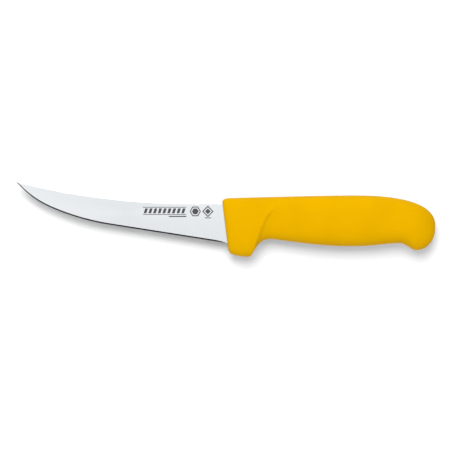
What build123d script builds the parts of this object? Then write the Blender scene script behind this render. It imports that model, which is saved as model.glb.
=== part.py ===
from build123d import *
import os
from math import atan, cos, pi, radians, sin, sqrt, tan

os.makedirs("parts", exist_ok=True)

# Curved boning knife: a taper-ground stainless blade with a hidden tang, and a handle moulded over the
# tang in two shots, a hard core and a soft skin. Nothing on it moves.
#
# The knife lies on its side, as on a table: +X runs from the tip to the pommel, +Y from the edge to the
# spine and +Z through the thickness. The origin is the middle of its outline, on the surface it lies on.
# Sizes are in millimetres. Places along the knife are measured back from the datum, where the spine
# meets the handle's front halfway through the thickness, and heights up from it.

# Blade
BLADE_LENGTH = 130.0  # straight from the tip to the datum
TIP_RISE = 13.7  # of the tip above the straight part of the spine
SPINE_STRAIGHT = 20.0  # of spine ahead of the handle, before it curves up to the tip
HEEL_HEIGHT = 24.3  # from the spine to the edge, at the datum
EDGE_PITCH = 8.9  # degrees by which the straight part of the edge drops towards the handle
BELLY_LENGTH = 59.0  # from the tip back to where the edge starts to curve
BELLY_RADIUS = 151.0
BELLY_TURN = 14.9  # degrees of that curve, before the tighter one up to the tip
STOCK_THICKNESS = 2.2
EDGE_THICKNESS = 0.4  # of the ground blade just behind its sharpened bevel
BEVEL_ANGLE = 15.0  # degrees on each side
BEVEL_STOP = 5.0  # from the datum forward to where the sharpened bevel starts to run out
RUN_OUT_RADIUS = 40.0  # of the bevel's run-out, which ends about where the handle starts
RUN_OUT_TURN = 60.0  # degrees of that arc, enough to leave the blade

# Tang
SHOULDER = 9.0  # from the datum to where the blade steps down to the tang
TANG_OVERLAP = 1.5  # of the tang's outline with the blade's, ahead of the shoulder
TANG_STOP = 35.5  # from the tang's end to the pommel's
TANG_ROOT_HEIGHT = 15.0
TANG_END_HEIGHT = 10.0
TANG_END_ROUND = 4.5
TANG_DROP = 9.5  # from the spine down to the tang's centre line
HOLE_DIAMETER = 5.0
HOLE_COUNT = 3
HOLE_START = 24.0  # from the datum to the first hole
HOLE_END = 22.0  # from the last hole to the tang's end

# Handle
HANDLE_LENGTH = 133.5
HANDLE_THICKNESS = 21.0
SQUARENESS = 2.6  # exponent of the handle's rounded sections and of its pommel
FRONT_RISE = 3.3  # of the handle's top above the datum, at the front
FRONT_SLANT = 7.2  # degrees that the front face leans
FRONT_PINCH = 7.5  # that the front is thinner than the handle
FRONT_ROUND = 2.4
NOSE_SHARE = 0.12  # share of the guard's length over which its front is rounded
CREST = 80.0  # from the datum to the highest and deepest place of the grip
GRIP_RISE = 5.1  # of the top, at the crest
TOP_CLIMB = 1.3  # exponent of the top's climb to the crest
GRIP_DEPTH = 26.7  # of the underside, at the crest
GRIP_SWELL = 0.7  # exponent of the underside's swell from the neck to the crest
GUARD_DROP = 9.0  # of the guard's lowest place below the blade's heel
GUARD_LENGTH = 15.5  # from the datum to the guard's lowest place
TOE_RISE = 2.4  # of the guard's front corner above its lowest place
HEEL_CORNER = 2.8  # from the guard's lowest place back to its rear corner
CORNER_RISE = 0.9  # of the guard's rear corner above its lowest place
RIDGE_LEAN = 14.0  # of the ridge between guard and grip, along the knife
NOTCH_RUN = 1.036  # length of the notch between guard and neck, for each millimetre of its depth
NOTCH_RUSH = 0.4  # exponent of how soon the flanks pinch in behind the ridge
UPPER_PINCH = 0.2  # share of the pinch that is left at the top
RIDGE_EDGE = 0.6  # how much of the guard's swelling is spent before the ridge, 1 for all of it
NOTCH_SWEEP = 2.3  # exponent of the curve from the guard's rear corner to the neck
NECK_COVER = 5.2  # of handle under the tang, at the neck
NECK_PINCH = 3.4  # that the neck's underside is thinner than the handle
UPRIGHT = 61.5  # from the datum to where the sections no longer lean
WAIST = 22.0  # from the pommel's end to the waist ahead of the hook
WAIST_DEPTH = 24.8
WAIST_SWEEP = 1.3  # exponent of the underside's rise from the crest to the waist
HOOK = 11.7  # from the pommel's end to the beak of the hook
HOOK_DEPTH = 29.2
POMMEL_DEPTH = 15.2  # of the pommel's rearmost place
POMMEL_ROUND = 17.0  # length of the pommel over which its flanks round in
END_FLAT = 0.1  # short of the full length, where the rounding stops in a small flat
FLAT_CUT = 0.15  # that the two flats take off the crowned flanks

# The sections that the handle is lofted through
SECTION_STEPS = 6  # spans along half a section
END_PULL = 1.0  # pull of the spline's end tangents, which keeps it within 0.1 mm of the superellipse
NOSE_STEPS = 3
GUARD_STEPS = 4
NOTCH_SHARES = (0.2, 0.4, 0.65, 1.0)  # from the ridge to the neck
LEAN_SHARES = (0.25, 0.6, 1.0)  # from the neck to where the sections stand upright
REAR_SHARES = (0.5, 0.8)  # from the crest to where the pommel starts
POMMEL_STEPS = 6
CORE_LAST = 5.0  # least length of the core behind its last section but one

# Moulding
SKIN = 2.4  # thickness of the soft skin over the core
CORE_END = 18.0  # from the core's end to the pommel's

HALF_STOCK = STOCK_THICKNESS / 2
HALF_EDGE = EDGE_THICKNESS / 2
HALF_HANDLE = HANDLE_THICKNESS / 2
TANG_LENGTH = HANDLE_LENGTH - TANG_STOP
HOLE_PITCH = (TANG_LENGTH - HOLE_END - HOLE_START) / (HOLE_COUNT - 1)
GUARD_DEPTH = HEEL_HEIGHT + GUARD_DROP
GUARD_REAR = GUARD_LENGTH + HEEL_CORNER
NECK_DEPTH = TANG_DROP + TANG_ROOT_HEIGHT / 2 + NECK_COVER
NECK = GUARD_REAR + (GUARD_DEPTH - NECK_DEPTH) * NOTCH_RUN
BLADE_REACH = sqrt(BLADE_LENGTH**2 - TIP_RISE**2)
BELLY_START = BELLY_LENGTH - BLADE_REACH
MARGIN = 30.0  # that cutting tools reach past what they cut

datum = Plane(origin=((BLADE_REACH - HANDLE_LENGTH) / 2, (GUARD_DEPTH - TIP_RISE) / 2, HALF_HANDLE))


def edge_line(x):
    """The straight part of the edge, at x."""
    return x, -HEEL_HEIGHT - x * tan(radians(EDGE_PITCH))


def front_line(height):
    """The handle's slanted front, at a height."""
    return -height * tan(radians(FRONT_SLANT)), height


def quarter(share, rounding):
    """A quarter of a superellipse: how high it still is at a share of its length."""
    return max(0.0, 1 - share**rounding) ** (1 / rounding)


def ease(share):
    """A smooth step from 0 to 1."""
    return share**2 * (3 - 2 * share)


def blend(start, end, share):
    return start + (end - start) * share


def off_edge(start, rounding):
    """Everything on the open side of the edge curve, from a place on its straight part to past the tip.
    A rounding lets the curve leave the edge on an arc of that radius at the start."""
    leave = edge_line(start)
    heading = Vector(1, 0).rotate(Axis.Z, -EDGE_PITCH)
    with BuildSketch() as region:
        with BuildLine():
            straight = Line(leave, edge_line(BELLY_START))
            belly = JernArc(straight @ 1, straight % 1, BELLY_RADIUS, -BELLY_TURN)
            tip = TangentArc(belly @ 1, (-BLADE_REACH, TIP_RISE), tangent=belly % 1)
            past = Line(tip @ 1, tip @ 1 + (tip % 1) * MARGIN)
            if rounding:
                out = JernArc(leave, heading, rounding, -RUN_OUT_TURN)
                rear = out @ 1
            else:
                rear = Vector(*leave)
            below = Line(rear, (rear.X, -HEEL_HEIGHT - 2 * MARGIN))
            corner = Vector((past @ 1).X, (below @ 1).Y)
            Polyline(below @ 1, corner, past @ 1)
        make_face()
    return region.sketch


def top_line(x):
    """The handle's top: it climbs gently to the crest, then rounds over to the pommel's end."""
    if x < CREST:
        return GRIP_RISE - (GRIP_RISE - FRONT_RISE) * (1 - x / CREST) ** TOP_CLIMB
    share = (x - CREST) / (HANDLE_LENGTH - CREST)
    return blend(-POMMEL_DEPTH, GRIP_RISE, quarter(share, SQUARENESS))


def underside(x):
    """The handle's underside behind the guard: neck, grip, waist, hook and the pommel's lower round."""
    waist = HANDLE_LENGTH - WAIST
    beak = HANDLE_LENGTH - HOOK
    if x < NECK:
        share = (NECK - x) / (NECK - GUARD_REAR)
        return blend(-NECK_DEPTH, CORNER_RISE - GUARD_DEPTH, share**NOTCH_SWEEP)
    if x < CREST:
        return blend(-NECK_DEPTH, -GRIP_DEPTH, ease(((x - NECK) / (CREST - NECK)) ** GRIP_SWELL))
    if x < waist:
        return blend(-GRIP_DEPTH, -WAIST_DEPTH, ease(((x - CREST) / (waist - CREST)) ** WAIST_SWEEP))
    if x < beak:
        return blend(-WAIST_DEPTH, -HOOK_DEPTH, ease((x - waist) / (beak - waist)))
    return blend(-POMMEL_DEPTH, -HOOK_DEPTH, quarter((x - beak) / HOOK, 2))


def guard_station(share):
    """A section between the front (0) and the ridge at the guard's rear corner (1). Each station is its
    underside point, its top point and its half thickness towards each of them."""
    toe = front_line(TOE_RISE - GUARD_DEPTH)[0]
    x = blend(toe, GUARD_REAR, share)
    if x < GUARD_LENGTH:
        depth = GUARD_DEPTH - TOE_RISE * ((GUARD_LENGTH - x) / (GUARD_LENGTH - toe)) ** 2
    else:
        depth = GUARD_DEPTH - CORNER_RISE * ((x - GUARD_LENGTH) / HEEL_CORNER) ** 2
    top_x = blend(front_line(FRONT_RISE)[0], GUARD_REAR + RIDGE_LEAN, share)
    swell = share * (1 + RIDGE_EDGE) - share**2 * RIDGE_EDGE
    half = HALF_HANDLE + FLAT_CUT - FRONT_PINCH / 2 * (1 - swell)
    return (x, -depth), (top_x, top_line(max(0.0, top_x))), half, half


def grip_station(x):
    """A section from just behind the ridge to the pommel."""
    lean = RIDGE_LEAN * max(0.0, (UPRIGHT - x) / (UPRIGHT - GUARD_REAR))
    pinch = 0.0
    if x < NECK:
        pinch = NECK_PINCH / 2 * ease(((x - GUARD_REAR) / (NECK - GUARD_REAR)) ** NOTCH_RUSH)
    elif x < UPRIGHT:
        pinch = NECK_PINCH / 2 * ease((UPRIGHT - x) / (UPRIGHT - NECK))
    rounding = max(0.0, (x - HANDLE_LENGTH + POMMEL_ROUND) / POMMEL_ROUND)
    full = HALF_HANDLE + FLAT_CUT
    narrow = quarter(rounding, 2)
    lower = (full - pinch) * narrow
    upper = (full - pinch * UPPER_PINCH) * narrow
    return (x, underside(x)), (x + lean, top_line(x + lean)), lower, upper


def section_face(station, inset):
    """A station's closed outline, a superellipse, shrunk by an inset."""
    low = Vector(*station[0])
    high = Vector(*station[1])
    up = (high - low).normalized()
    half_height = (high - low).length / 2 - inset
    middle = (low + high) / 2
    plane = Plane(origin=datum.from_local_coords(middle), x_dir=up, z_dir=up.cross(Vector(0, 0, 1)))
    outline = []
    for i in range(SECTION_STEPS + 1):
        angle = pi * i / SECTION_STEPS
        along = abs(cos(angle)) ** (2 / SQUARENESS) * (1 if 2 * i < SECTION_STEPS else -1)
        half = blend(station[3], station[2], ease((1 - along) / 2)) - inset
        across = half * sin(angle) ** (2 / SQUARENESS) if 0 < i < SECTION_STEPS else 0.0
        outline.append((along * half_height, across))
    with BuildSketch(plane) as section:
        with BuildLine():
            Spline(outline, tangents=((0, 1), (0, -1)), tangent_scalars=(END_PULL, END_PULL))
            mirror(about=Plane.XZ)
        make_face()
    return section.sketch


def lofted(*runs):
    """A closed form lofted through each run of sections. A run starts on the last section of the one
    before, where the surface may crease."""
    skins = []
    for run in runs:
        skins += [face for face in loft(sections=run).faces() if face.geom_type != GeomType.PLANE]
    return Solid(Shell([runs[0][0].face(), *skins, runs[-1][-1].face()]))


pommel_x = HANDLE_LENGTH - POMMEL_ROUND
nose_turns = [pi / 2 * i / NOSE_STEPS for i in range(NOSE_STEPS + 1)]
guard_shares = [blend(NOSE_SHARE, 1.0, i / GUARD_STEPS) for i in range(GUARD_STEPS + 1)]
grip_places = [blend(GUARD_REAR, NECK, share) for share in NOTCH_SHARES]
grip_places += [blend(NECK, UPRIGHT, share) for share in LEAN_SHARES]
grip_places += [CREST] + [blend(CREST, pommel_x, share) for share in REAR_SHARES]
pommel_reach = POMMEL_ROUND - END_FLAT
for i in range(POMMEL_STEPS + 1):
    grip_places.append(pommel_x + pommel_reach * sin(pi / 2 * i / POMMEL_STEPS))

nose_faces = []
for turn in nose_turns:
    station = guard_station(NOSE_SHARE * (1 - cos(turn)))
    nose_faces.append(section_face(station, FRONT_ROUND * (1 - sin(turn))))
guard_faces = [section_face(guard_station(share), 0.0) for share in guard_shares]
grip_faces = guard_faces[-1:] + [section_face(grip_station(x), 0.0) for x in grip_places]

core_guard_faces = [section_face(guard_station(share), SKIN) for share in guard_shares]
core_length = HANDLE_LENGTH - CORE_END
core_places = [x for x in grip_places if x < core_length - CORE_LAST] + [core_length]
core_grip_faces = core_guard_faces[-1:] + [section_face(grip_station(x), SKIN) for x in core_places]

tang_middle = -TANG_DROP
with BuildSketch(datum) as blade_outline:
    with BuildLine():
        back = Line((SHOULDER, 0), (-SPINE_STRAIGHT, 0))
        curve = TangentArc(back @ 1, (-BLADE_REACH, TIP_RISE), tangent=back % 1)
        ground = Line(edge_line(SHOULDER), edge_line(BELLY_START))
        belly = JernArc(ground @ 1, ground % 1, BELLY_RADIUS, -BELLY_TURN)
        TangentArc(belly @ 1, (-BLADE_REACH, TIP_RISE), tangent=belly % 1)
        Line((SHOULDER, 0), edge_line(SHOULDER))
    make_face()

with BuildSketch(datum) as tang_outline:
    with BuildLine():
        Polyline(
            (SHOULDER - TANG_OVERLAP, tang_middle - TANG_ROOT_HEIGHT / 2),
            (TANG_LENGTH, tang_middle - TANG_END_HEIGHT / 2),
            (TANG_LENGTH, tang_middle + TANG_END_HEIGHT / 2),
            (SHOULDER - TANG_OVERLAP, tang_middle + TANG_ROOT_HEIGHT / 2),
            close=True,
        )
    make_face()
    fillet(tang_outline.vertices().group_by(Axis.X)[-1], TANG_END_ROUND)

with BuildSketch(datum) as tang_holes:
    hole_offset = HOLE_PITCH * (HOLE_COUNT - 1) / 2
    with Locations((HOLE_START + hole_offset, tang_middle)):
        with GridLocations(HOLE_PITCH, 1, HOLE_COUNT, 1):
            Circle(HOLE_DIAMETER / 2)

grind_angle = atan((HALF_STOCK - HALF_EDGE) / HEEL_HEIGHT)
grind_region = datum.offset(HALF_EDGE) * off_edge(SHOULDER, 0.0)
bevel_region = datum * off_edge(-BEVEL_STOP, RUN_OUT_RADIUS)
grind_way = Vector(0, cos(grind_angle), sin(grind_angle))
bevel_way = Vector(0, cos(radians(BEVEL_ANGLE)), sin(radians(BEVEL_ANGLE)))
bevel_cut = STOCK_THICKNESS / sin(radians(BEVEL_ANGLE))  # twice what reaches through half the stock

with BuildPart() as blade:
    extrude(blade_outline.sketch, HALF_STOCK, both=True)
    extrude(tang_outline.sketch, HALF_STOCK, both=True)
    extrude(tang_holes.sketch, STOCK_THICKNESS, both=True, mode=Mode.SUBTRACT)
    grind = extrude(grind_region, HEEL_HEIGHT + MARGIN, dir=grind_way, mode=Mode.PRIVATE)
    bevel = extrude(bevel_region, bevel_cut, dir=bevel_way, mode=Mode.PRIVATE)
    add(grind, mode=Mode.SUBTRACT)
    add(mirror(grind, about=datum, mode=Mode.PRIVATE), mode=Mode.SUBTRACT)
    add(bevel, mode=Mode.SUBTRACT)
    add(mirror(bevel, about=datum, mode=Mode.PRIVATE), mode=Mode.SUBTRACT)
blade.part.label = "blade"

core_form = lofted(core_guard_faces, core_grip_faces)

with BuildPart() as handle_core:
    add(core_form)
    add(blade.part, mode=Mode.SUBTRACT)
handle_core.part.label = "handle_core"

with BuildPart() as handle_grip:
    add(lofted(nose_faces, guard_faces, grip_faces))
    split(bisect_by=Plane.XY, keep=Keep.TOP)
    split(bisect_by=Plane.XY.offset(HANDLE_THICKNESS), keep=Keep.BOTTOM)
    add(core_form, mode=Mode.SUBTRACT)
    add(blade.part, mode=Mode.SUBTRACT)
handle_grip.part.label = "handle_grip"

export_step(blade.part, "parts/blade.step")
export_step(handle_core.part, "parts/handle_core.step")
export_step(handle_grip.part, "parts/handle_grip.step")
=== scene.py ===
import math

import bmesh
import bpy
import numpy as np
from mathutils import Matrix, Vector


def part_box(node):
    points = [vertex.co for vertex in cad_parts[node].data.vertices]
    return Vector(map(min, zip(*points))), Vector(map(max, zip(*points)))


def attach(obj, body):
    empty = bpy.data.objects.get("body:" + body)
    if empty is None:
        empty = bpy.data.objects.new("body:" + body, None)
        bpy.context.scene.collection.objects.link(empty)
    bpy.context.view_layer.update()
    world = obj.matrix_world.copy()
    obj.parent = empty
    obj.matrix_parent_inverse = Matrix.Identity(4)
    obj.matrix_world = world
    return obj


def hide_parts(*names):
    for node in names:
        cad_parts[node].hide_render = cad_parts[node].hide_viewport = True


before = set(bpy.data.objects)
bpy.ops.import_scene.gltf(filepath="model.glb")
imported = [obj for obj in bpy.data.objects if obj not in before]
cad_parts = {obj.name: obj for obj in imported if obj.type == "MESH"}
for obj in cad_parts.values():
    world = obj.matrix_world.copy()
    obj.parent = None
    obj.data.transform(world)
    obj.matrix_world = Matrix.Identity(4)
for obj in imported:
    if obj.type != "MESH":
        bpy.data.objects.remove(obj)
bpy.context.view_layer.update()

# Curved boning knife, lying on its side and seen from straight above. Sizes are in millimetres, as in the
# CAD source, and are measured from the datum: the spine at the handle's front, halfway through the
# thickness. +X runs to the pommel, +Y to the spine, +Z up.

MM = 0.001

# Blade
BLADE_LENGTH = 130.0  # straight from the tip to the datum
TIP_RISE = 13.7  # of the tip above the straight part of the spine
SPINE_STRAIGHT = 20.0  # of spine ahead of the handle, before it curves up to the tip
HEEL_HEIGHT = 24.3  # from the spine to the edge, at the datum
EDGE_PITCH = math.radians(8.9)  # by which the straight part of the edge drops towards the handle
BELLY_LENGTH = 59.0  # from the tip back to where the edge starts to curve
BELLY_RADIUS = 151.0
BELLY_TURN = math.radians(14.9)
HALF_STOCK = 1.1
HALF_EDGE = 0.2  # of the ground blade just behind its sharpened bevel
BEVEL_ANGLE = math.radians(15)
BEVEL_STOP = 5.0  # from the datum forward to where the bevel starts to run out
RUN_OUT_RADIUS = 40.0
SPINE_EASE = 0.1  # rounding of the spine's edges
SHOULDER = 9.0  # from the datum to where the blade steps down to the tang
BLADE_REACH = math.sqrt(BLADE_LENGTH**2 - TIP_RISE**2)
BELLY_START = BELLY_LENGTH - BLADE_REACH
GRIND = (HALF_STOCK - HALF_EDGE) / HEEL_HEIGHT  # what a flank gains for each millimetre up from the edge

# Limits of the blade's sections where it runs thin, at the tip and at the bevel's run-out
BEVEL_SHARE = 0.4  # most of the blade's height that the bevel takes
BEVEL_LEAST = 0.004
EASE_SHARE = 0.2  # most of the blade's height that the spine's rounding takes
EASE_DEPTH = 0.8  # and most of its half thickness

# Steps of the blade's mesh
COVERED_PLACES = (SHOULDER, 6.0, 4.0)  # sections inside the handle
HEEL_REAR = 3.5  # of the close sections along the bevel's run-out
HEEL_FRONT = -8.0
HEEL_STEP = 0.5
STRAIGHT_STEPS = 50
BELLY_STEPS = 30
TIP_STEPS = 36
TIP_CROWDING = 1.5  # exponent that draws the sections together towards the tip
FLANK_STEPS = 10
EASE_STEPS = 4

# Tang
TANG_LENGTH = 98.0
TANG_MIDDLE = -9.5
TANG_ROOT = 15.0
TANG_END = 10.0
TANG_END_STEPS = 12
HOLES = (24.0, 50.0, 76.0)
HOLE_RADIUS = 2.5
HOLE_SIDES = 32

# Etched mark
MARK_START = -49.9
MARK_END = -22.6
MARK_THICKNESS = 0.008
MARK_LIFT = 0.006  # of the mark's middle above the flank
BAR_COUNT = 9
BAR_INSET = 0.5
BAR_PITCH = 2.95
BAR_WIDTH = 1.75
BAR_SLANT = 1.0
BAR_HEIGHTS = (-6.1, -3.0)
LONG_RULES = ((-2.5, -2.1), (-7.0, -6.6))
SHORT_RULE = (-8.4, -7.7)
SHORT_RULE_LENGTH = 11.0
BADGE_MIDDLE = -4.9
HEXAGON_PLACE = -17.0
HEXAGON_RADII = (3.5, 2.8, 2.1)
DIAMOND_PLACE = -9.1
DIAMOND_RADII = (3.6, 2.7, 1.8)
DIAMOND_RULE = (-9.2, -8.7)
DIAMOND_RULE_REACH = 2.0

# Handle
HANDLE_LENGTH = 133.5
HALF_HANDLE = 10.5
SQUARENESS = 2.6  # exponent of the handle's rounded sections and of its pommel
FRONT_RISE = 3.3  # of the handle's top above the datum, at the front
FRONT_SLANT = math.radians(7.2)
FRONT_PINCH = 7.5  # that the front is thinner than the handle
FRONT_ROUND = 2.4
NOSE_SHARE = 0.12  # share of the guard's length over which its front is rounded
CREST = 80.0  # from the datum to the highest and deepest place of the grip
GRIP_RISE = 5.1  # of the top, at the crest
TOP_CLIMB = 1.3  # exponent of the top's climb to the crest
GRIP_DEPTH = 26.7  # of the underside, at the crest
GRIP_SWELL = 0.7  # exponent of the underside's swell from the neck to the crest
GUARD_DEPTH = 33.3
GUARD_LENGTH = 15.5  # from the datum to the guard's lowest place
TOE_RISE = 2.4  # of the guard's front corner above its lowest place
HEEL_CORNER = 2.8  # from the guard's lowest place back to its rear corner
CORNER_RISE = 0.9  # of the guard's rear corner above its lowest place
GUARD_REAR = GUARD_LENGTH + HEEL_CORNER
RIDGE_LEAN = 19.0  # of the ridge between guard and grip, along the knife
RIDGE_BOW = 3.6  # of the ridge towards the front, off the straight line between its ends
BOW_SKEW = 1.25  # exponent that moves the bow's deepest place up
RIDGE_EDGE = 0.6  # how much of the guard's swelling is spent before the ridge, 1 for all of it
LIP_RISE = 0.9  # of the ridge over the flank ahead of it
LIP_SHARE = 0.3  # share of the guard's length over which it rises
STEP_DROP = 1.05  # of the flank just behind the ridge
STEP_LENGTH = 5.4
UPRIGHT = 61.5  # from the datum to where the sections no longer lean
NECK = 29.8
NECK_DEPTH = 22.2
NECK_PINCH = 3.4  # that the neck is thinner than the handle
NOTCH_SWEEP = 2.3  # exponent of the curve from the guard's rear corner to the neck
WAIST = 22.0  # from the pommel's end to the waist ahead of the hook
WAIST_DEPTH = 24.8
WAIST_SWEEP = 1.3  # exponent of the underside's rise from the crest to the waist
HOOK = 11.7  # from the pommel's end to the beak of the hook
HOOK_DEPTH = 29.2
POMMEL_DEPTH = 15.2  # of the pommel's rearmost place
POMMEL_ROUND = 17.0  # length of the pommel over which its flanks round in
FADE_START = 0.5  # share of a section's height from which its pinch fades
FADE_END = 1.0

# Steps of the handle's mesh
NOSE_STEPS = 8
GUARD_STEPS = 71
NOTCH_STEPS = 44
NOTCH_CROWDING = 1.4  # exponent that draws the sections together towards the ridge
GRIP_STEPS = 89
POMMEL_STEPS = 40
RINGS_END = 0.15  # short of the pommel's end, where its rounding rings stop
END_POINT = 0.1  # short of the pommel's end, where one point closes it
SECTION_SAMPLES = 400  # fine points along half a section, between which its mesh points are spaced
SIDE_STEPS = 64
SEAM = ((0.0, 0.05), (0.07, 0.04), (0.16, 0.0))  # distance from the parting plane, and how proud
SEAM_FULL = 30.0  # length of half a section below which the seam shrinks with it
SEAT = ((0.03, 3.0), (0.03, 0.2), (0.25, 0.0))  # gap round the blade and depth behind the front
SEAT_BELOW = 0.4  # more gap below the blade

# Edges that turn more than this are sharp
BLADE_CREASE = math.radians(6)
CREASE = math.radians(20)
WELD_DISTANCE = 1e-7

# Camera
VIEW_WIDTH = 0.28215  # that the picture spans, in metres
LENS = 180.0
SENSOR = 36.0
CLIP_START = 0.05
CLIP_END = 20.0
VIEW_AT = (1.63, -13.42, 0.0)  # in millimetres from the datum

# Floor, key light and world. The places and sizes are in metres. A patch of sky is its extra strength and
# its soft edges, each as (axis, from, to) in the coordinates of the direction.
FLOOR_SIZE = 4.0
KEY_PLACE = (-0.08, 0.48, 1.1)
KEY_SIZE = 0.66
KEY_POWER = 11.9
DOME = 0.47
OVERHEAD = (0.63, [("Z", 0.82, 0.92)])
FILL = (1.2, [("Y", -0.74, -0.86)])
DARK_CARD = [("Y", -0.74, -0.64), ("Y", -0.2, -0.3), ("X", -0.66, -0.52), ("X", 0.45, 0.3)]

TONE_PLACES = (0.3, 0.7)  # of a noise, for a material's darker and lighter tone

blade_low, blade_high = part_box("blade")
ORIGIN = np.array(
    [
        blade_low.x + BLADE_REACH * MM,
        blade_high.y - TIP_RISE * MM,
        (blade_low.z + blade_high.z) / 2,
    ]
)


def to_row(points):
    """Datum millimetres to the row frame's metres."""
    return np.asarray(points, float) * MM + ORIGIN


def new_mesh(name, points, faces, material, crease):
    """An object from datum millimetres. Edges that turn more than crease are sharp."""
    mesh = bpy.data.meshes.new(name)
    mesh.from_pydata([tuple(p) for p in to_row(points)], [], faces)
    mesh.validate()
    mesh.update()
    mesh.shade_smooth()
    mesh.set_sharp_from_angle(angle=crease)
    made = bpy.data.objects.new(name, mesh)
    bpy.context.scene.collection.objects.link(made)
    made.data.materials.append(material)
    return made


def weld(piece):
    work = bmesh.new()
    work.from_mesh(piece.data)
    bmesh.ops.remove_doubles(work, verts=work.verts, dist=WELD_DISTANCE)
    bmesh.ops.recalc_face_normals(work, faces=work.faces)
    work.to_mesh(piece.data)
    work.free()
    piece.data.set_sharp_from_angle(angle=CREASE)


def blend(start, end, share):
    return start + (end - start) * share


def ease(share):
    """A smooth step from 0 to 1."""
    share = np.clip(share, 0.0, 1.0)
    return share**2 * (3 - 2 * share)


def quarter(share, rounding):
    """A quarter of a superellipse: how high it still is at a share of its length."""
    return max(0.0, 1 - share**rounding) ** (1 / rounding)


# Materials


class Nodes:
    """A small helper that builds one material's node tree."""

    def __init__(self, name):
        self.material = bpy.data.materials.new(name)
        self.material.use_nodes = True
        self.tree = self.material.node_tree
        self.shader = self.tree.nodes["Principled BSDF"]

    def add(self, kind, inputs):
        node = self.tree.nodes.new(kind)
        for key, value in inputs.items():
            if isinstance(value, bpy.types.NodeSocket):
                self.tree.links.new(value, node.inputs[key])
            else:
                node.inputs[key].default_value = value
        return node

    def to_shader(self, key, socket):
        self.tree.links.new(socket, self.shader.inputs[key])

    def set_shader(self, key, value):
        self.shader.inputs[key].default_value = value

    def noise(self, scale, detail=3.0, stretch=(1.0, 1.0, 1.0), roughness=0.5):
        where = self.add("ShaderNodeTexCoord", {}).outputs["Object"]
        stretched = self.add("ShaderNodeMapping", {"Vector": where, "Scale": stretch}).outputs[0]
        inputs = {"Vector": stretched, "Scale": scale, "Detail": detail, "Roughness": roughness}
        return self.add("ShaderNodeTexNoise", inputs).outputs[0]

    def tones(self, fac, low, high):
        node = self.add("ShaderNodeValToRGB", {"Fac": fac})
        for element, place, colour in zip(node.color_ramp.elements, TONE_PLACES, (low, high)):
            element.position = place
            element.color = (*colour, 1.0)
        return node.outputs[0]

    def span(self, fac, low, high):
        return self.add("ShaderNodeMapRange", {"Value": fac, "To Min": low, "To Max": high}).outputs[0]

    def bump(self, height, distance, strength, normal=None):
        inputs = {"Height": height, "Distance": distance, "Strength": strength}
        if normal is not None:
            inputs["Normal"] = normal
        return self.add("ShaderNodeBump", inputs).outputs[0]


def grip_material():
    """Matt yellow elastomer with the fine sparked texture of its mould and a little uneven shine."""
    m = Nodes("yellow_elastomer")
    m.to_shader("Base Color", m.tones(m.noise(60.0, 4.0), (0.655, 0.347, 0.0), (0.69, 0.37, 0.0)))
    m.to_shader("Roughness", m.span(m.noise(350.0, 4.0), 0.5, 0.66))
    grain = m.bump(m.noise(5200.0, 2.0), 0.00002, 0.5)
    m.to_shader("Normal", m.bump(m.noise(900.0, 3.0), 0.00003, 0.35, grain))
    m.set_shader("Specular IOR Level", 0.02)
    m.set_shader("Specular Tint", (1.0, 0.7, 0.1, 1.0))
    return m.material


def steel_material(name, low, high, smooth, rough, line_depth):
    """Stainless steel ground across the blade, with fine lines from spine to edge."""
    m = Nodes(name)
    m.set_shader("Metallic", 1.0)
    lines = m.noise(1.0, 4.0, (9000.0, 260.0, 260.0), 0.65)
    m.to_shader("Base Color", m.tones(lines, low, high))
    m.to_shader("Roughness", m.span(lines, smooth, rough))
    m.to_shader("Normal", m.bump(lines, line_depth, 0.6))
    m.set_shader("Anisotropic", 0.4)
    return m.material


def etch_material():
    """The dark oxide that electrolytic marking leaves on steel."""
    m = Nodes("etched_oxide")
    m.to_shader("Base Color", m.tones(m.noise(3000.0), (0.035, 0.037, 0.04), (0.06, 0.062, 0.066)))
    m.to_shader("Roughness", m.span(m.noise(5000.0, 2.0), 0.5, 0.7))
    m.set_shader("Metallic", 0.3)
    return m.material


def core_material():
    """Hard orange plastic as moulded, hidden inside the handle."""
    m = Nodes("hard_core")
    m.to_shader("Base Color", m.tones(m.noise(80.0), (0.52, 0.24, 0.01), (0.6, 0.28, 0.012)))
    m.to_shader("Roughness", m.span(m.noise(600.0), 0.35, 0.5))
    m.to_shader("Normal", m.bump(m.noise(1500.0), 0.00003, 0.4))
    return m.material


YELLOW = grip_material()
STEEL = steel_material("satin_steel", (0.665, 0.692, 0.714), (0.715, 0.742, 0.764), 0.12, 0.16, 0.000004)
# The bevel's steel is a copy of the flank's steel with about half its base colour. This is painted shade
# on the bevel, added to the real dark reflection of the world's black card in it.
BEVEL_PAINTED_SHADE = steel_material("bevel_steel_painted_shade", (0.33, 0.35, 0.385), (0.41, 0.43, 0.465), 0.12, 0.17, 0.000002)
ETCH = etch_material()


# Blade


def arc_from(start, heading, radius, turn):
    """The centre, end and end heading of an arc that turns right by an angle."""
    centre = start + radius * np.array([math.sin(heading), -math.cos(heading)])
    after = heading - turn
    return centre, centre - radius * np.array([math.sin(after), -math.cos(after)]), after


belly_from = np.array([BELLY_START, -HEEL_HEIGHT - BELLY_START * math.tan(EDGE_PITCH)])
belly_centre, belly_end, tip_heading = arc_from(belly_from, math.pi - EDGE_PITCH, BELLY_RADIUS, BELLY_TURN)
tip = np.array([-BLADE_REACH, TIP_RISE])
to_centre = np.array([math.sin(tip_heading), -math.cos(tip_heading)])
TIP_RADIUS = (tip - belly_end) @ (tip - belly_end) / (2 * (tip - belly_end) @ to_centre)
tip_centre = belly_end + TIP_RADIUS * to_centre
SPINE_RUN = BLADE_REACH - SPINE_STRAIGHT
SPINE_RADIUS = (SPINE_RUN**2 + TIP_RISE**2) / (2 * TIP_RISE)


def spine_y(x):
    if x > -SPINE_STRAIGHT:
        return 0.0
    return SPINE_RADIUS - math.sqrt(SPINE_RADIUS**2 - (x + SPINE_STRAIGHT) ** 2)


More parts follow.
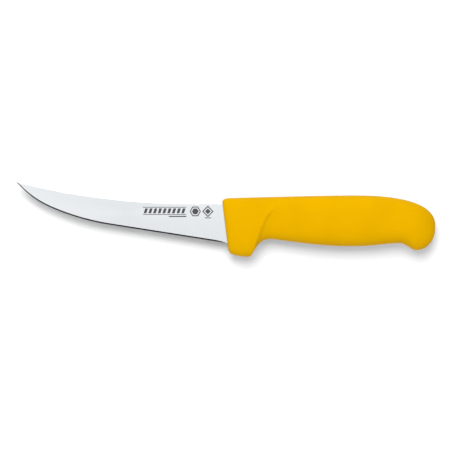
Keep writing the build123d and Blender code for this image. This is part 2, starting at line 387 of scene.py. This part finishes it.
def edge_y(x):
    if x > BELLY_START:
        return -HEEL_HEIGHT - x * math.tan(EDGE_PITCH)
    centre, radius = (belly_centre, BELLY_RADIUS) if x > belly_end[0] else (tip_centre, TIP_RADIUS)
    return centre[1] - math.sqrt(radius**2 - (x - centre[0]) ** 2)


def blade_half_section(x):
    """Points from the middle of the edge to the middle of the spine on the upper side, as (y, z)."""
    low, high = edge_y(x), spine_y(x)
    height = high - low
    drop = 0.0
    if x > -BEVEL_STOP:
        drop = RUN_OUT_RADIUS - math.sqrt(RUN_OUT_RADIUS**2 - (x + BEVEL_STOP) ** 2)
    land = min(HALF_EDGE, drop * math.tan(BEVEL_ANGLE))
    bevel = (HALF_EDGE - land) / (math.tan(BEVEL_ANGLE) - GRIND)
    bevel = max(min(bevel, BEVEL_SHARE * height), BEVEL_LEAST * min(1.0, height))
    rounding = min(SPINE_EASE, EASE_SHARE * height)

    def half(d):
        return min(land + d * math.tan(BEVEL_ANGLE), HALF_EDGE + GRIND * d, HALF_STOCK)

    section = [(low, 0.0), (low, land), (low + bevel, half(bevel))]
    for i in range(1, FLANK_STEPS + 1):
        d = blend(bevel, height - rounding, i / FLANK_STEPS)
        section.append((low + d, half(d)))
    full = half(height - rounding)
    depth = min(rounding, full * EASE_DEPTH)
    for i in range(1, EASE_STEPS + 1):
        turn = math.pi / 2 * i / EASE_STEPS
        section.append((high - rounding * (1 - math.sin(turn)), full - depth * (1 - math.cos(turn))))
    section.append((high, 0.0))
    return section


def blade_places():
    """Where the blade's sections are, from the shoulder to just short of the tip."""
    xs = list(COVERED_PLACES)
    xs += list(np.arange(HEEL_REAR, HEEL_FRONT, -HEEL_STEP))
    xs += list(np.linspace(HEEL_FRONT, BELLY_START, STRAIGHT_STEPS))
    xs += list(np.linspace(BELLY_START, belly_end[0], BELLY_STEPS))[1:]
    shares = np.linspace(0, 1, TIP_STEPS)[1:-1]
    xs += [blend(belly_end[0], tip[0], 1 - (1 - share) ** TIP_CROWDING) for share in shares]
    return xs


def make_blade():
    points, faces, rings = [], [], []
    for x in blade_places():
        upper = blade_half_section(x)
        ring = [(x, y, z) for y, z in upper] + [(x, y, -z) for y, z in upper[-2:0:-1]]
        rings.append(range(len(points), len(points) + len(ring)))
        points += ring
    count = len(rings[0])
    for a, b in zip(rings, rings[1:]):
        faces += [(a[i], a[(i + 1) % count], b[(i + 1) % count], b[i]) for i in range(count)]
    side_faces = len(faces)
    faces.append(tuple(reversed(rings[0])))
    points.append((*tip, 0.0))
    last = rings[-1]
    faces += [(last[i], last[(i + 1) % count], len(points) - 1) for i in range(count)]
    made = new_mesh("blade_ground", points, faces, STEEL, BLADE_CREASE)
    # The honed bevel faces get the darker copy of the steel: painted shade on the bevel, over its real
    # reflection of the black card.
    made.data.materials.append(BEVEL_PAINTED_SHADE)
    bevel_faces_painted_dark = {0, 1, count - 1, count - 2}
    for face in made.data.polygons:
        if face.index < side_faces and face.index % count in bevel_faces_painted_dark:
            face.material_index = 1
    return made


blade = make_blade()
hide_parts("blade")
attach(blade, "root")


def flat_shapes(name, outlines, thickness, material, lift=None):
    """A thin plate from closed outlines of (x, y), an outline inside another being a hole. lift gives the
    height of its middle at (x, y)."""
    curve = bpy.data.curves.new(name, "CURVE")
    curve.dimensions = "2D"
    curve.fill_mode = "BOTH"
    curve.extrude = thickness / 2
    for outline in outlines:
        spline = curve.splines.new("POLY")
        spline.points.add(len(outline) - 1)
        for point, (x, y) in zip(spline.points, outline):
            point.co = (x, y, 0.0, 1.0)
        spline.use_cyclic_u = True
    holder = bpy.data.objects.new(name, curve)
    bpy.context.scene.collection.objects.link(holder)
    bpy.context.view_layer.update()
    mesh = bpy.data.meshes.new_from_object(holder.evaluated_get(bpy.context.evaluated_depsgraph_get()))
    bpy.data.objects.remove(holder)
    points = np.array([v.co for v in mesh.vertices], float)
    faces = [tuple(f.vertices) for f in mesh.polygons]
    bpy.data.meshes.remove(mesh)
    if lift:
        points[:, 2] += [lift(x, y) for x, y in points[:, :2]]
    made = new_mesh(name, points, faces, material, CREASE)
    weld(made)
    return made


def polygon(x, y, radius, sides):
    turns = [2 * math.pi * i / sides for i in range(sides)]
    return [(x + radius * math.cos(turn), y + radius * math.sin(turn)) for turn in turns]


def make_tang():
    root, end = TANG_ROOT / 2, TANG_END / 2
    outline = [(SHOULDER, TANG_MIDDLE - root)]
    for i in range(TANG_END_STEPS + 1):
        turn = -math.pi / 2 + math.pi * i / TANG_END_STEPS
        outline.append((TANG_LENGTH - end + end * math.cos(turn), TANG_MIDDLE + end * math.sin(turn)))
    outline.append((SHOULDER, TANG_MIDDLE + root))
    holes = [polygon(x, TANG_MIDDLE, HOLE_RADIUS, HOLE_SIDES) for x in HOLES]
    return flat_shapes("blade_tang", [outline] + holes, 2 * HALF_STOCK, STEEL)


tang = make_tang()
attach(tang, "root")


# Etched mark: plain geometric figures, no lettering


def bar(start, end, heights, slant=0.0):
    low, high = heights
    return [(start, low), (end, low), (end + slant, high), (start + slant, high)]


def mark_z(x, y):
    """The height of the mark's middle, just over the ground flank."""
    return HALF_EDGE + GRIND * (y - edge_y(x)) + MARK_LIFT


def etched_figures():
    """A row of slanted bars between two rules, a hexagonal badge and a diamond badge."""
    figures = []
    for i in range(BAR_COUNT):
        x = MARK_START + BAR_INSET + BAR_PITCH * i
        figures.append(bar(x, x + BAR_WIDTH, BAR_HEIGHTS, BAR_SLANT))
    figures += [bar(MARK_START, MARK_END, heights) for heights in LONG_RULES]
    figures.append(bar(MARK_END - SHORT_RULE_LENGTH, MARK_END, SHORT_RULE))
    figures += [polygon(HEXAGON_PLACE, BADGE_MIDDLE, radius, 6) for radius in HEXAGON_RADII]
    figures += [polygon(DIAMOND_PLACE, BADGE_MIDDLE, radius, 4) for radius in DIAMOND_RADII]
    start, end = DIAMOND_PLACE - DIAMOND_RULE_REACH, DIAMOND_PLACE + DIAMOND_RULE_REACH
    figures.append(bar(start, end, DIAMOND_RULE))
    return figures


mark = flat_shapes("etched_mark", etched_figures(), MARK_THICKNESS, ETCH, mark_z)
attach(mark, "root")


# Handle


def top_line(x):
    """The handle's top: it climbs gently to the crest, then rounds over to the pommel's end."""
    if x < CREST:
        return GRIP_RISE - (GRIP_RISE - FRONT_RISE) * (1 - max(x, 0.0) / CREST) ** TOP_CLIMB
    share = (x - CREST) / (HANDLE_LENGTH - CREST)
    return blend(-POMMEL_DEPTH, GRIP_RISE, quarter(share, SQUARENESS))


def underside(x):
    """The handle's underside behind the guard: neck, grip, waist, hook and the pommel's lower round."""
    waist, beak = HANDLE_LENGTH - WAIST, HANDLE_LENGTH - HOOK
    if x < NECK:
        share = (NECK - x) / (NECK - GUARD_REAR)
        return blend(-NECK_DEPTH, CORNER_RISE - GUARD_DEPTH, share**NOTCH_SWEEP)
    if x < CREST:
        return blend(-NECK_DEPTH, -GRIP_DEPTH, ease(((x - NECK) / (CREST - NECK)) ** GRIP_SWELL))
    if x < waist:
        return blend(-GRIP_DEPTH, -WAIST_DEPTH, ease(((x - CREST) / (waist - CREST)) ** WAIST_SWEEP))
    if x < beak:
        return blend(-WAIST_DEPTH, -HOOK_DEPTH, ease((x - waist) / (beak - waist)))
    return blend(-POMMEL_DEPTH, -HOOK_DEPTH, quarter((x - beak) / HOOK, 2))


def front_x(y):
    return -y * math.tan(FRONT_SLANT)


def guard_row(share):
    """Between the front and the ridge: underside point, top point, half thickness, bow of the section and
    pinch, which is what its flanks lose below the middle, fading out to the top."""
    toe = front_x(TOE_RISE - GUARD_DEPTH)
    x = blend(toe, GUARD_REAR, share)
    if x < GUARD_LENGTH:
        depth = GUARD_DEPTH - TOE_RISE * ((GUARD_LENGTH - x) / (GUARD_LENGTH - toe)) ** 2
    else:
        depth = GUARD_DEPTH - CORNER_RISE * ((x - GUARD_LENGTH) / HEEL_CORNER) ** 2
    top_x = blend(front_x(FRONT_RISE), GUARD_REAR + RIDGE_LEAN, share)
    swell = share * (1 + RIDGE_EDGE) - share**2 * RIDGE_EDGE
    half = HALF_HANDLE - FRONT_PINCH / 2 * (1 - swell)
    hollow = ease(share / (1 - LIP_SHARE)) * (1 - ease((share - 1 + LIP_SHARE) / LIP_SHARE))
    return (x, -depth), (top_x, top_line(top_x)), half, RIDGE_BOW * ease(share), LIP_RISE * hollow


def grip_row(x):
    """Behind the ridge, in the same terms. The flanks step down behind it, sink on to the neck and swell
    again to where the sections stand upright."""
    forward = max(0.0, (UPRIGHT - x) / (UPRIGHT - GUARD_REAR))
    lean = RIDGE_LEAN * forward
    back = x - GUARD_REAR
    pinch = STEP_DROP * ease(back / STEP_LENGTH)
    pinch += (NECK_PINCH / 2 - STEP_DROP) * ease(back / (NECK - GUARD_REAR))
    if x > NECK:
        pinch = NECK_PINCH / 2 * ease((UPRIGHT - x) / (UPRIGHT - NECK))
    narrow = quarter(max(0.0, (x - HANDLE_LENGTH + POMMEL_ROUND) / POMMEL_ROUND), 2)
    low, high = (x, underside(x)), (x + lean, top_line(x + lean))
    return low, high, HALF_HANDLE * narrow, RIDGE_BOW * ease(forward), pinch * narrow


def section_ring(row, inset=0.0):
    """A closed ring of points: down the +Z flank from the top, and up the other."""
    low, high = np.array(row[0]), np.array(row[1])
    full_half, full_bow, pinch = row[2:]
    up = (high - low) / np.linalg.norm(high - low)
    half_height = np.linalg.norm(high - low) / 2 - inset - SEAM[0][1]
    middle = (low + high) / 2
    turn = np.linspace(0, math.pi, SECTION_SAMPLES)
    along = np.sign(np.cos(turn)) * np.abs(np.cos(turn)) ** (2 / SQUARENESS)
    height = (1 + along) / 2
    half = full_half - pinch * ease((FADE_END - height) / (FADE_END - FADE_START)) - inset
    across = half * np.sin(turn) ** (2 / SQUARENESS)
    across[0] = across[-1] = 0.0
    bow = full_bow * np.sin(math.pi * height**BOW_SKEW)
    along = along * half_height
    length = np.concatenate([[0], np.cumsum(np.hypot(np.diff(along), np.diff(across)))])

    scale = min(1.0, length[-1] / SEAM_FULL)
    near = [distance * scale for distance, _ in SEAM]
    raised = [proud * scale for _, proud in SEAM[:-1]]
    flank = list(np.linspace(near[-1], length[-1] - near[-1], SIDE_STEPS))
    places = near[:-1] + flank + [length[-1] - distance for distance in near[-2::-1]]
    proud = np.array(raised + [0.0] * SIDE_STEPS + raised[::-1])
    u = np.interp(places, length, along)
    v = np.interp(places, length, across)
    back = np.interp(places, length, bow)
    v[0] = v[-1] = 0.0
    count = len(places)
    u = u + np.where(np.arange(count) < count / 2, proud, -proud)
    x, y = middle[0] + up[0] * u - back, middle[1] + up[1] * u
    right = list(zip(x, y, v))
    left = list(zip(x[-2:0:-1], y[-2:0:-1], -v[-2:0:-1]))
    return right + left


def slot_ring(count, gap, depth):
    """The blade's seat in the front face: a ring with as many points as a section, gap wider than the
    blade and depth behind the face."""
    side = count // 2 + 1
    top, bottom = gap, -HEEL_HEIGHT - gap - SEAT_BELOW
    right = []
    for i in range(side):
        share = i / (side - 1)
        y = blend(top, bottom, (ease(share) + share) / 2)
        z = HALF_EDGE + GRIND * (y + HEEL_HEIGHT) + gap
        z = z if 0 < i < side - 1 else 0.0
        right.append((front_x(y) + depth, y, z))
    return right + [(x, y, -z) for x, y, z in right[-2:0:-1]]


def grip_rings():
    """The handle's rings from the front's rounded edge to the pommel's end."""
    rings = []
    for i in range(NOSE_STEPS + 1):
        turn = math.pi / 2 * i / NOSE_STEPS
        row = guard_row(NOSE_SHARE * (1 - math.cos(turn)))
        rings.append(section_ring(row, FRONT_ROUND * (1 - math.sin(turn))))
    rings += [section_ring(guard_row(share)) for share in np.linspace(NOSE_SHARE, 1, GUARD_STEPS + 1)[1:]]
    for i in range(1, NOTCH_STEPS + 1):
        share = (i / NOTCH_STEPS) ** NOTCH_CROWDING
        rings.append(section_ring(grip_row(GUARD_REAR + (NECK - GUARD_REAR) * share)))
    pommel = HANDLE_LENGTH - POMMEL_ROUND
    rings += [section_ring(grip_row(x)) for x in np.linspace(NECK, pommel, GRIP_STEPS + 1)[1:]]
    for i in range(1, POMMEL_STEPS):
        share = math.sin(math.pi / 2 * i / POMMEL_STEPS)
        rings.append(section_ring(grip_row(pommel + (POMMEL_ROUND - RINGS_END) * share)))
    return rings


def make_grip():
    rings = grip_rings()
    count = len(rings[0])
    rings = [slot_ring(count, gap, depth) for gap, depth in SEAT] + rings
    points = [p for ring in rings for p in ring]
    faces = []
    for r in range(len(rings) - 1):
        a, b = r * count, (r + 1) * count
        faces += [(a + i, b + i, b + (i + 1) % count, a + (i + 1) % count) for i in range(count)]
    faces.append(tuple(range(count)))
    end = (len(rings) - 1) * count
    last = np.mean(rings[-1], axis=0)
    points.append((HANDLE_LENGTH - END_POINT, last[1], last[2]))
    faces += [(end + i, len(points) - 1, end + (i + 1) % count) for i in range(count)]
    made = new_mesh("grip_skin", points, faces, YELLOW, CREASE)
    weld(made)
    return made


grip = make_grip()
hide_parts("handle_grip")
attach(grip, "root")

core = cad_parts["handle_core"]
core.data.materials.clear()
core.data.materials.append(core_material())

# The handle casts no yellow light on the floor, which keeps the shadow a neutral grey
grip.visible_diffuse = False
core.visible_diffuse = False


# Camera, straight above


def add_camera():
    data = bpy.data.cameras.new("camera")
    data.lens = LENS
    data.sensor_width = SENSOR
    data.clip_start = CLIP_START
    data.clip_end = CLIP_END
    made = bpy.data.objects.new("camera", data)
    made.location = Vector(to_row(VIEW_AT)) + Vector((0, 0, VIEW_WIDTH * LENS / SENSOR))
    bpy.context.scene.collection.objects.link(made)
    return made


bpy.context.scene.camera = add_camera()


# Floor, lights and world


def floor_material():
    m = Nodes("floor_paper")
    m.to_shader("Base Color", m.tones(m.noise(4.0), (0.88, 0.88, 0.88), (0.9, 0.9, 0.9)))
    m.set_shader("Roughness", 0.9)
    m.set_shader("Specular IOR Level", 0.1)
    return m.material


def add_floor():
    mesh = bpy.data.meshes.new("floor")
    s = FLOOR_SIZE / 2
    mesh.from_pydata([(-s, -s, 0), (s, -s, 0), (s, s, 0), (-s, s, 0)], [], [(0, 1, 2, 3)])
    made = bpy.data.objects.new("floor", mesh)
    made.data.materials.append(floor_material())
    bpy.context.scene.collection.objects.link(made)
    return made


add_floor()


def area_light(name, place, size, power):
    """A square light at a place, aimed at the knife."""
    data = bpy.data.lights.new(name, "AREA")
    data.shape = "SQUARE"
    data.size = size
    data.energy = power
    data.spread = math.pi
    light = bpy.data.objects.new(name, data)
    light.location = place
    light.rotation_mode = "QUATERNION"
    light.rotation_quaternion = (-Vector(place)).to_track_quat("-Z", "Y")
    bpy.context.scene.collection.objects.link(light)


area_light("key", KEY_PLACE, KEY_SIZE, KEY_POWER)


def studio_world(dome, patches, card):
    """A white dome of an even strength, with soft-edged brighter patches and one black card."""
    world = bpy.data.worlds.new("studio")
    world.use_nodes = True
    tree = world.node_tree

    def math_node(operation, *values):
        made = tree.nodes.new("ShaderNodeMath")
        made.operation = operation
        for socket, value in zip(made.inputs, values):
            if isinstance(value, bpy.types.NodeSocket):
                tree.links.new(value, socket)
            else:
                socket.default_value = value
        return made.outputs[0]

    where = tree.nodes.new("ShaderNodeTexCoord").outputs["Generated"]
    parts = tree.nodes.new("ShaderNodeSeparateXYZ")
    tree.links.new(where, parts.inputs[0])

    def patch(edges, extra=1.0):
        inside = extra
        for axis, low, high in edges:
            edge = tree.nodes.new("ShaderNodeMapRange")
            edge.interpolation_type = "SMOOTHSTEP"
            edge.inputs["From Min"].default_value = low
            edge.inputs["From Max"].default_value = high
            tree.links.new(parts.outputs[axis], edge.inputs["Value"])
            inside = math_node("MULTIPLY", inside, edge.outputs[0])
        return inside

    strength = dome
    for extra, edges in patches:
        strength = math_node("ADD", strength, patch(edges, extra))
    strength = math_node("MULTIPLY", strength, math_node("SUBTRACT", 1.0, patch(card)))
    tree.links.new(strength, tree.nodes["Background"].inputs["Strength"])
    tree.nodes["Background"].inputs["Color"].default_value = (1.0, 1.0, 1.0, 1.0)
    bpy.context.scene.world = world


studio_world(DOME, [OVERHEAD, FILL], DARK_CARD)
bpy.context.scene.view_settings.view_transform = "Standard"
